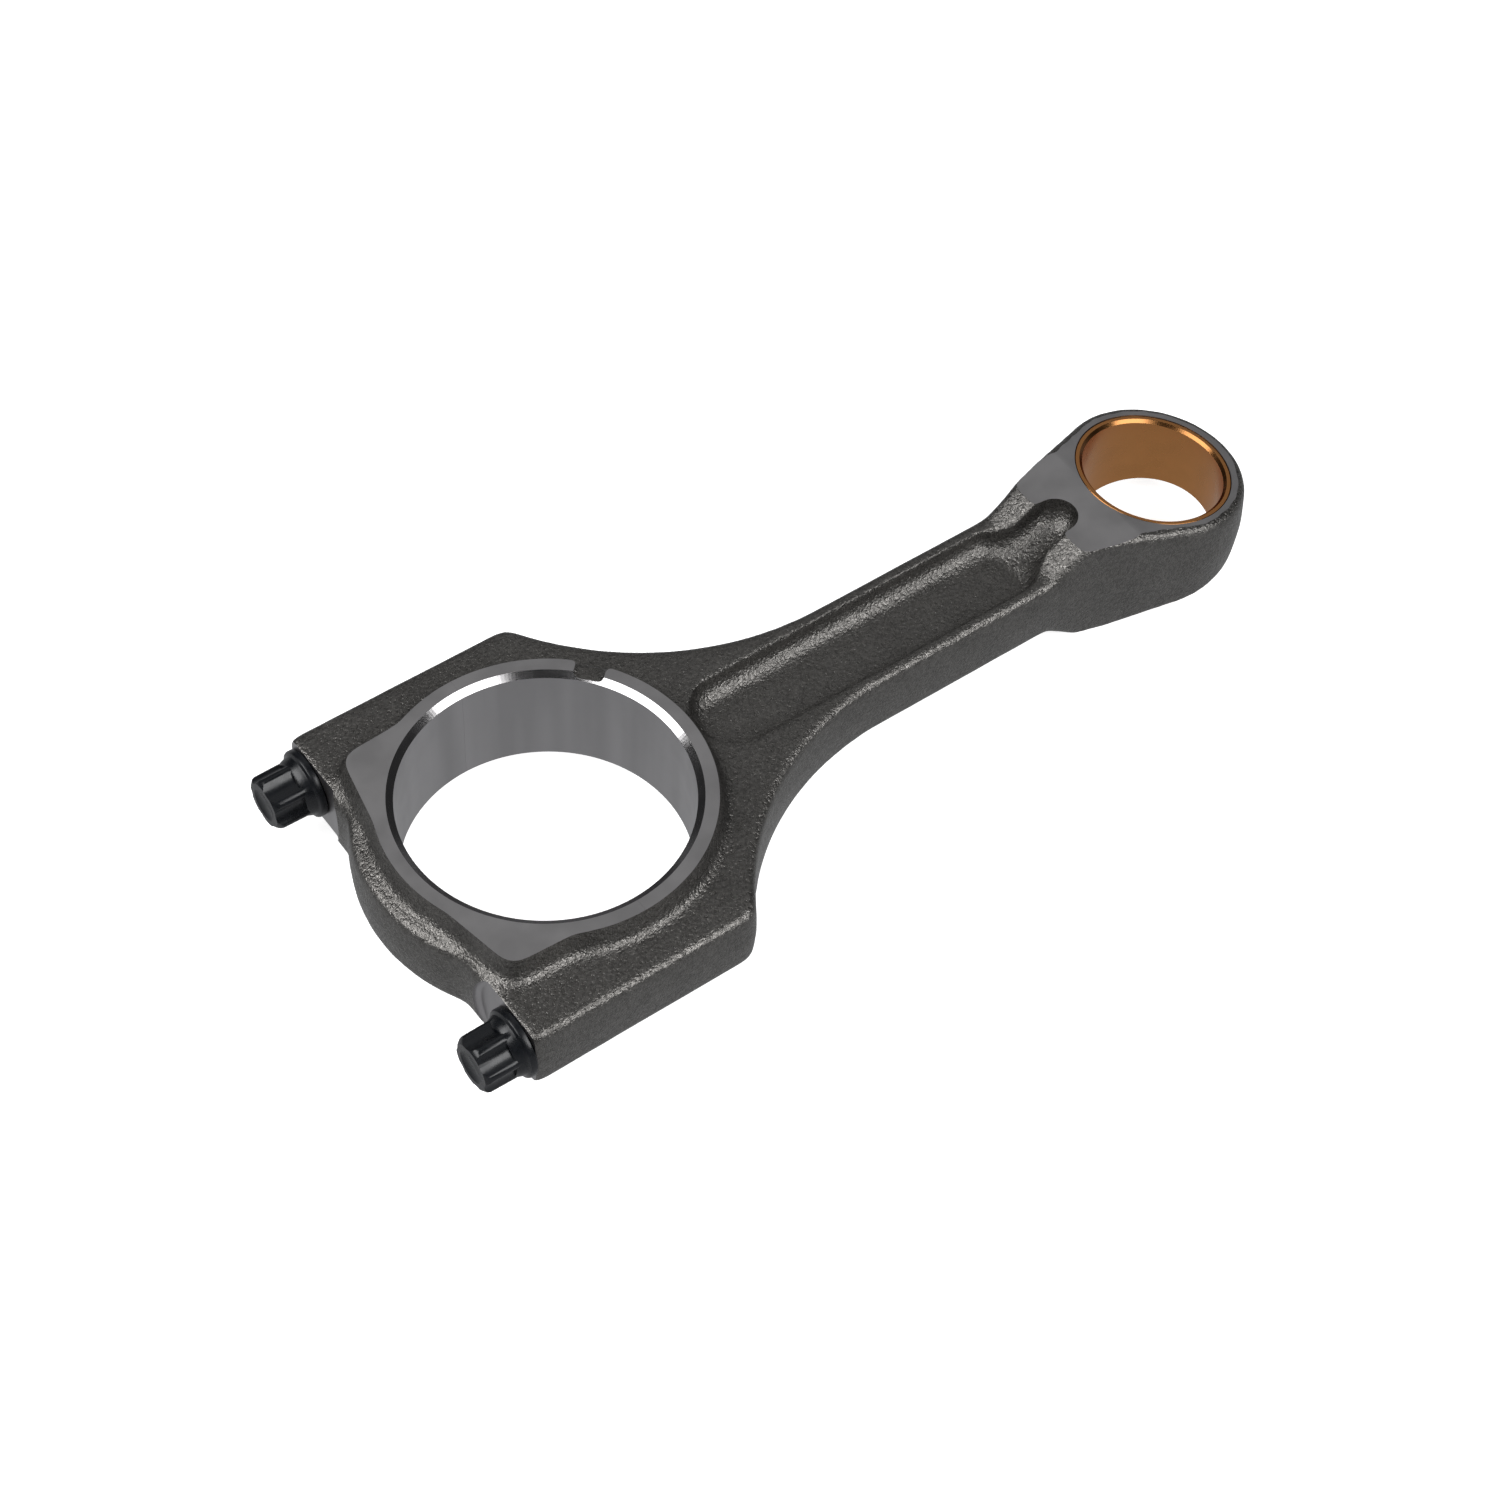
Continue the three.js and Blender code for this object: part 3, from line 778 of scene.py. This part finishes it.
def bolt_solid(size, finish):
    """A flanged bolt with its head towards +Z and the crank centre's plane at zero."""
    seat = size.seat + SEAT_GAP
    shank = size.thread - 0.3
    rim = size.flange
    top = 1 - BOLT_TIP + THREAD_LENGTH
    stem = [(0, top - 1), (size.thread - 0.8, top - 1), (shank, top + 0.4), (shank, seat - 0.9)]
    neck = [(size.thread, seat - 0.4), (size.thread, seat)]
    flange = [(rim - 0.3, seat), (rim, seat + 0.3), (rim, seat + 1.15)]
    shoulder = [(rim - 0.15, seat + 1.45), (rim - 0.5, seat + 1.6), (rim - 0.75, seat + 1.75)]
    cone = [(rim - 0.9, seat + 2.1), (size.head - 0.1, seat + 3.1), (size.head - 0.5, seat + 3.5)]
    profile = [*stem, *neck, *flange, *shoulder, *cone, (0, seat + 3.6)]
    body = to_object("stem", turned(profile, 96), finish)
    core = size.thread - 0.77
    tip = [(0, -BOLT_TIP), (size.thread - 1.4, -BOLT_TIP), (core, 0.8 - BOLT_TIP)]
    tip += [(core, 2 - BOLT_TIP), (0, 2 - BOLT_TIP)]
    combine(body, to_object("tip", turned(tip, 48), finish), "UNION")
    combine(body, to_object("threads", threads(size), finish), "UNION")
    return combine(body, head_shape(size, finish), "UNION")


# ---------------------------------------------------------------------------------------------
# Finishing a piece


def mark_edges(thing, degrees=32):
    """Keeps the machined edges crisp and the rest smooth, apart from the facets of turned chamfers."""
    bm = bmesh.new()
    bm.from_mesh(thing.data)
    limit = math.radians(degrees)
    names = [slot.name for slot in thing.data.materials]
    for face in bm.faces:
        face.smooth = not names[face.material_index].startswith("turned")
    for edge in bm.edges:
        if len(edge.link_faces) == 2:
            one, two = edge.link_faces
            angle = edge.calc_face_angle(0)
            broad = max(one.calc_area(), two.calc_area()) > BROAD_FACE
            border = one.material_index != two.material_index
            edge.smooth = not (angle > limit or border or (broad and angle > BROAD_ANGLE))
    bm.to_mesh(thing.data)
    bm.free()


def place(thing):
    """From millimetres about the crank centre to the frame's metres."""
    thing.data.transform(Matrix.Translation(CRANK) @ Matrix.Scale(MM, 4))
    thing.data.update()


def finish_piece(thing, name, node, body):
    """Names a piece, puts it in its place and hands it over in place of its plain CAD solid."""
    thing.name = name
    thing.data.name = name
    mark_edges(thing)
    place(thing)
    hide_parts(node)
    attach(thing, body)


# ---------------------------------------------------------------------------------------------
# Materials


class Finish:
    """A material whose nodes are added one by one."""

    def __init__(self, name):
        self.material = bpy.data.materials.new(name)
        self.material.use_nodes = True
        self.nodes = self.material.node_tree.nodes
        self.links = self.material.node_tree.links
        self.shader = self.nodes["Principled BSDF"]
        self.place = self.nodes.new("ShaderNodeTexCoord").outputs["Object"]

    def link(self, source, target):
        self.links.new(source, target)

    def mapped(self, location=(0, 0, 0), scale=(1, 1, 1)):
        node = self.nodes.new("ShaderNodeMapping")
        node.inputs["Location"].default_value = location
        node.inputs["Scale"].default_value = scale
        self.link(self.place, node.inputs["Vector"])
        return node.outputs["Vector"]

    def noise(self, size_mm, detail=2.0, roughness=0.5, vector=None):
        node = self.nodes.new("ShaderNodeTexNoise")
        node.inputs["Scale"].default_value = 1 / (size_mm * MM)
        node.inputs["Detail"].default_value = detail
        node.inputs["Roughness"].default_value = roughness
        self.link(vector or self.place, node.inputs["Vector"])
        return node.outputs["Fac"]

    def cells(self, size_mm):
        node = self.nodes.new("ShaderNodeTexVoronoi")
        node.inputs["Scale"].default_value = 1 / (size_mm * MM)
        self.link(self.place, node.inputs["Vector"])
        return node.outputs["Distance"]

    def ramp(self, source, low, high, start=0.3, end=0.7):
        node = self.nodes.new("ShaderNodeMapRange")
        node.inputs["From Min"].default_value = start
        node.inputs["From Max"].default_value = end
        node.inputs["To Min"].default_value = low
        node.inputs["To Max"].default_value = high
        self.link(source, node.inputs["Value"])
        return node.outputs["Result"]

    def tint(self, factor, dark, light):
        node = self.nodes.new("ShaderNodeMix")
        node.data_type = "RGBA"
        node.inputs["A"].default_value = (*dark, 1)
        node.inputs["B"].default_value = (*light, 1)
        self.link(factor, node.inputs["Factor"])
        return node.outputs["Result"]

    def sum(self, one, two, operation="ADD"):
        node = self.nodes.new("ShaderNodeMath")
        node.operation = operation
        self.link(one, node.inputs[0])
        if isinstance(two, (int, float)):
            node.inputs[1].default_value = two
        else:
            self.link(two, node.inputs[1])
        return node.outputs["Value"]

    def colour(self, factor, base, dark, light):
        """Shades of one colour, from dark to light, by a pattern."""
        shades = self.tint(factor, shade(base, dark), shade(base, light))
        self.link(shades, self.shader.inputs["Base Color"])

    def roughness(self, source):
        self.link(source, self.shader.inputs["Roughness"])

    def surface(self, normal):
        self.link(normal, self.shader.inputs["Normal"])

    def set(self, socket, value):
        self.shader.inputs[socket].default_value = value

    def bump(self, height, depth_mm, strength=1.0, before=None):
        node = self.nodes.new("ShaderNodeBump")
        node.inputs["Distance"].default_value = depth_mm * MM
        node.inputs["Strength"].default_value = strength
        self.link(height, node.inputs["Height"])
        if before:
            self.link(before, node.inputs["Normal"])
        return node.outputs["Normal"]


def shade(value, factor):
    return tuple(min(1.0, channel * factor) for channel in value)


def forged_skin(colours):
    """Shot-blasted forging scale: fine pits that glint, and broad mottling."""
    skin = Finish("forged_skin")
    grain = skin.noise(0.65, 2, 0.65)
    mottle = skin.noise(6, 3, 0.6)
    speck = skin.noise(0.7, 2, 0.6)
    base = tuple(colours.skin)
    patch = skin.sum(skin.ramp(mottle, 0, 0.4), skin.ramp(speck, 0, 0.6, 0.42, 0.58))
    skin.colour(patch, base, 0.78, 1.22)
    skin.set("Metallic", 0.9)
    skin.roughness(skin.ramp(grain, 0.27, 0.43, 0.4, 0.6))
    pits = skin.bump(grain, 0.28)
    skin.surface(skin.bump(mottle, 0.12, 1.0, pits))
    return skin.material


def ground_steel(colours):
    """Fine grinding on the side faces and bores, nearly even, with painted reflection bands round the
    bores.
    """
    steel = Finish("ground_steel")
    base = tuple(colours.ground)
    cloud = steel.noise(5, 4, 0.6)
    # Random tone on the side faces. On the bores the pattern runs along the axis as lighter and darker
    # bands: painted reflection standing in for bands of reflected light.
    tone_and_sheen_bands = steel.ramp(steel.noise(7, 2, 0.5, steel.mapped(scale=(1, 1, 0.08))), 0, 1, 0.35, 0.65)
    lines = steel.noise(0.25, 2, 0.6)
    steel.colour(tone_and_sheen_bands, base, 0.91, 1.08)
    steel.set("Metallic", 1)
    steel.roughness(steel.ramp(cloud, 0.3, 0.4))
    steel.surface(steel.bump(lines, 0.004, 0.6))
    return steel.material


def turned_steel(colours):
    """The bright chamfers, turned with one pass of a tool."""
    steel = Finish("turned_steel")
    base = tuple(colours.ground)
    cloud = steel.noise(3, 2, 0.5)
    steel.colour(cloud, base, 0.85, 0.95)
    steel.set("Metallic", 1)
    steel.roughness(steel.ramp(cloud, 0.14, 0.18))
    return steel.material


def cracked_steel(colours):
    """The bright grainy face of the cracked joint."""
    steel = Finish("cracked_steel")
    base = tuple(colours.ground)
    grain = steel.cells(0.35)
    steel.colour(steel.noise(0.5), base, 0.55, 1.1)
    steel.set("Metallic", 0.9)
    steel.roughness(steel.ramp(grain, 0.35, 0.6, 0, 1))
    steel.surface(steel.bump(grain, 0.15))
    return steel.material


def bored_bronze(colours):
    """Warm bronze with the fine circular marks of boring."""
    bronze = Finish("bored_bronze")
    base = tuple(colours.bronze)
    cloud = bronze.noise(4, 3, 0.5)
    rings = bronze.noise(0.2, 1, 0.5, bronze.mapped(scale=(0.04, 0.04, 1)))
    bronze.colour(cloud, base, 0.85, 1.12)
    bronze.set("Metallic", 1)
    bronze.roughness(bronze.ramp(cloud, 0.24, 0.34))
    bronze.surface(bronze.bump(rings, 0.004, 0.5))
    return bronze.material


def turned_bronze_painted_shade(colours):
    """The bush's chamfers, in a darker copy of the bronze: painted shade that dims their bright
    reflection.
    """
    bronze = Finish("turned_bronze_painted_shade")
    base = tuple(colours.bronze)
    cloud = bronze.noise(3, 2, 0.5)
    # Painted shade: the chamfers take 0.42 to 0.5 of the bronze's colour, though they are the same
    # bronze as the bore.
    bronze.colour(cloud, base, 0.42, 0.5)
    bronze.set("Metallic", 1)
    bronze.roughness(bronze.ramp(cloud, 0.2, 0.26))
    return bronze.material


def black_phosphate(colours):
    """Oiled black phosphate with a soft shine and faint wear."""
    black = Finish("black_phosphate")
    base = tuple(colours.black)
    cloud = black.noise(2.5, 3, 0.6)
    grain = black.noise(0.2, 2, 0.6)
    black.colour(cloud, base, 0.6, 1.4)
    black.set("Metallic", 0.2)
    black.roughness(black.ramp(cloud, 0.22, 0.36))
    black.surface(black.bump(grain, 0.006, 0.5))
    return black.material


def studio_floor(colours):
    """Pale, even paper."""
    paper = Finish("studio_floor")
    base = tuple(colours.floor)
    fibre = paper.noise(40, 3, 0.5)
    paper.link(paper.tint(fibre, shade(base, 0.99), base), paper.shader.inputs["Base Color"])
    paper.set("Roughness", 0.9)
    paper.set("Specular IOR Level", 0.1)
    paper.set("Emission Color", (1, 1, 1, 1))
    paper.set("Emission Strength", FLOOR_GLOW)
    return paper.material


MATERIALS = {
    "forged_skin": forged_skin,
    "ground_steel": ground_steel,
    "turned_steel": turned_steel,
    "cracked_steel": cracked_steel,
    "bored_bronze": bored_bronze,
    "turned_bronze_painted_shade": turned_bronze_painted_shade,
    "black_phosphate": black_phosphate,
    "studio_floor": studio_floor,
}


def material(name):
    """The finish of that name, made when it is first asked for."""
    return bpy.data.materials.get(name) or MATERIALS[name](bpy.context.scene.rod_colours)


def sloping(face):
    """Whether a face belongs to a chamfer rather than to a bore or a flat end."""
    return 0.3 < abs(face.normal.z) < 0.95


def paint(thing, name, wanted):
    """Gives a finish to the faces that pass a test."""
    thing.data.materials.append(material(name))
    index = len(thing.data.materials) - 1
    for polygon in thing.data.polygons:
        if wanted(polygon):
            polygon.material_index = index


# ---------------------------------------------------------------------------------------------
# Operators, one for each piece or group of like pieces


def machined_forging(size):
    """The whole machined forging before it is cracked, made once and kept for both halves."""
    kept = bpy.data.objects.get("machined_forging")
    if kept:
        return kept
    whole = machined(forging(size, material("forged_skin")), size, material("ground_steel"))
    whole.name = "machined_forging"
    return whole


class ROD_OT_rod(Operator):
    """Make the rod, from the cracked joint to the small end"""

    bl_idname = "rod.make_rod"
    bl_label = "Rod"

    def execute(self, context):
        size = in_mm(context.scene.rod_sizes)
        whole = machined_forging(size)
        piece = whole.copy()
        piece.data = whole.data.copy()
        context.collection.objects.link(piece)
        tool = fracture_tool(size, material("cracked_steel"))
        tool.data.transform(Matrix.Translation((CRACK_GAP / 2, 0, 0)))
        combine(piece, tool, "DIFFERENCE")
        finish_piece(piece, "forged_rod", "rod", "rod")
        return {"FINISHED"}


class ROD_OT_cap(Operator):
    """Make the cap, on the other side of the cracked joint"""

    bl_idname = "rod.make_cap"
    bl_label = "Cap"

    def execute(self, context):
        size = in_mm(context.scene.rod_sizes)
        piece = machined_forging(size)
        tool = fracture_tool(size, material("cracked_steel"))
        tool.data.transform(Matrix.Translation((-CRACK_GAP / 2, 0, 0)))
        combine(piece, tool, "INTERSECT")
        finish_piece(piece, "forged_cap", "cap", "cap")
        return {"FINISHED"}


class ROD_OT_bush(Operator):
    """Make the bronze bush of the small end"""

    bl_idname = "rod.make_bush"
    bl_label = "Bush"

    def execute(self, context):
        size = in_mm(context.scene.rod_sizes)
        piece = to_object("bush", bush_solid(size), material("bored_bronze"))
        # The small sloping faces are the chamfers, which get the darker, painted-shade copy of the
        # bronze.
        paint(piece, "turned_bronze_painted_shade", lambda face: sloping(face) and face.area < 1)
        finish_piece(piece, "bronze_bush", "bush", "rod")
        return {"FINISHED"}


class ROD_OT_bolts(Operator):
    """Make the two flanged bolts that hold the cap"""

    bl_idname = "rod.make_bolts"
    bl_label = "Bolts"

    def execute(self, context):
        size = in_mm(context.scene.rod_sizes)
        for name, side in (("bolt_left", 1), ("bolt_right", -1)):
            piece = bolt_solid(size, material("black_phosphate"))
            turn = Matrix.Rotation(-math.pi / 2, 4, "Y") @ Matrix.Rotation(side * HEAD_TURN, 4, "Z")
            piece.data.transform(Matrix.Translation((0, side * BOLT_SPREAD, 0)) @ turn)
            finish_piece(piece, "black_" + name, name, name)
        return {"FINISHED"}


def aimed(thing, position, target):
    """Puts a lamp or a camera somewhere, looking at a point."""
    thing.location = position
    thing.rotation_euler = (Vector(target) - Vector(position)).to_track_quat("-Z", "Y").to_euler()
    bpy.context.scene.collection.objects.link(thing)
    return thing


def softbox(name, direction, distance, width, height, power):
    lamp = bpy.data.lights.new(name, "AREA")
    lamp.shape = "RECTANGLE"
    lamp.size = width
    lamp.size_y = height
    lamp.energy = power
    position = Vector(direction).normalized() * distance
    return aimed(bpy.data.objects.new(name, lamp), position, (0, 0, 0.01))


def studio_world():
    """A dark room over a pale ground."""
    world = bpy.data.worlds.new("studio")
    world.use_nodes = True
    nodes, links = world.node_tree.nodes, world.node_tree.links
    direction = nodes.new("ShaderNodeTexCoord").outputs["Generated"]
    split = nodes.new("ShaderNodeSeparateXYZ")
    links.new(direction, split.inputs["Vector"])
    blend = nodes.new("ShaderNodeMapRange")
    blend.inputs["From Min"].default_value = -HORIZON
    blend.inputs["From Max"].default_value = HORIZON
    blend.inputs["To Min"].default_value = GROUND_LEVEL
    blend.inputs["To Max"].default_value = ROOM_LEVEL
    links.new(split.outputs["Z"], blend.inputs["Value"])
    background = nodes["Background"]
    background.inputs["Color"].default_value = (0.97, 0.98, 1, 1)
    links.new(blend.outputs["Result"], background.inputs["Strength"])
    return world


def studio_camera():
    lens = bpy.data.cameras.new("camera")
    lens.lens = LENS
    lens.sensor_width = SENSOR
    lens.clip_start = 0.01
    camera = bpy.data.objects.new("camera", lens)
    turn = Matrix((CAMERA_RIGHT, CAMERA_UP, CAMERA_BACK)).transposed().to_4x4()
    camera.matrix_world = Matrix.Translation(CAMERA_PLACE) @ turn
    bpy.context.scene.collection.objects.link(camera)
    return camera


class ROD_OT_studio(Operator):
    """Make the floor, the soft lamps and the camera"""

    bl_idname = "rod.make_studio"
    bl_label = "Studio"

    def execute(self, context):
        bm = bmesh.new()
        bmesh.ops.create_grid(bm, x_segments=8, y_segments=8, size=3)
        floor = to_object("studio_floor", bm, material("studio_floor"))
        floor.data.transform(Matrix.Translation((0, 0, CAD_BOX[0][2] - FLOOR_DROP)))
        floor.visible_glossy = False
        for lamp in LAMPS:
            softbox(*lamp)
        scene = context.scene
        scene.world = studio_world()
        scene.view_settings.view_transform = "Standard"
        scene.camera = studio_camera()
        return {"FINISHED"}


class ROD_PT_panel(Panel):
    """The rod's sizes, colours and pieces"""

    bl_label = "Connecting rod"
    bl_idname = "ROD_PT_panel"
    bl_space_type = "VIEW_3D"
    bl_region_type = "UI"
    bl_category = "Rod"

    def draw(self, context):
        layout = self.layout
        for group in (context.scene.rod_sizes, context.scene.rod_colours):
            box = layout.box()
            for item in group.bl_rna.properties:
                if item.identifier not in ("rna_type", "name"):
                    box.prop(group, item.identifier)
        for operator in OPERATORS:
            layout.operator(operator.bl_idname)


OPERATORS = (ROD_OT_rod, ROD_OT_cap, ROD_OT_bush, ROD_OT_bolts, ROD_OT_studio)
CLASSES = (RodSizes, RodColours, *OPERATORS, ROD_PT_panel)


def register():
    for cls in CLASSES:
        bpy.utils.register_class(cls)
    bpy.types.Scene.rod_sizes = PointerProperty(type=RodSizes)
    bpy.types.Scene.rod_colours = PointerProperty(type=RodColours)


def unregister():
    del bpy.types.Scene.rod_colours
    del bpy.types.Scene.rod_sizes
    for cls in reversed(CLASSES):
        bpy.utils.unregister_class(cls)


def main():
    register()
    bpy.ops.rod.make_rod()
    bpy.ops.rod.make_cap()
    bpy.ops.rod.make_bush()
    bpy.ops.rod.make_bolts()
    bpy.ops.rod.make_studio()


if __name__ == "__main__":
    main()
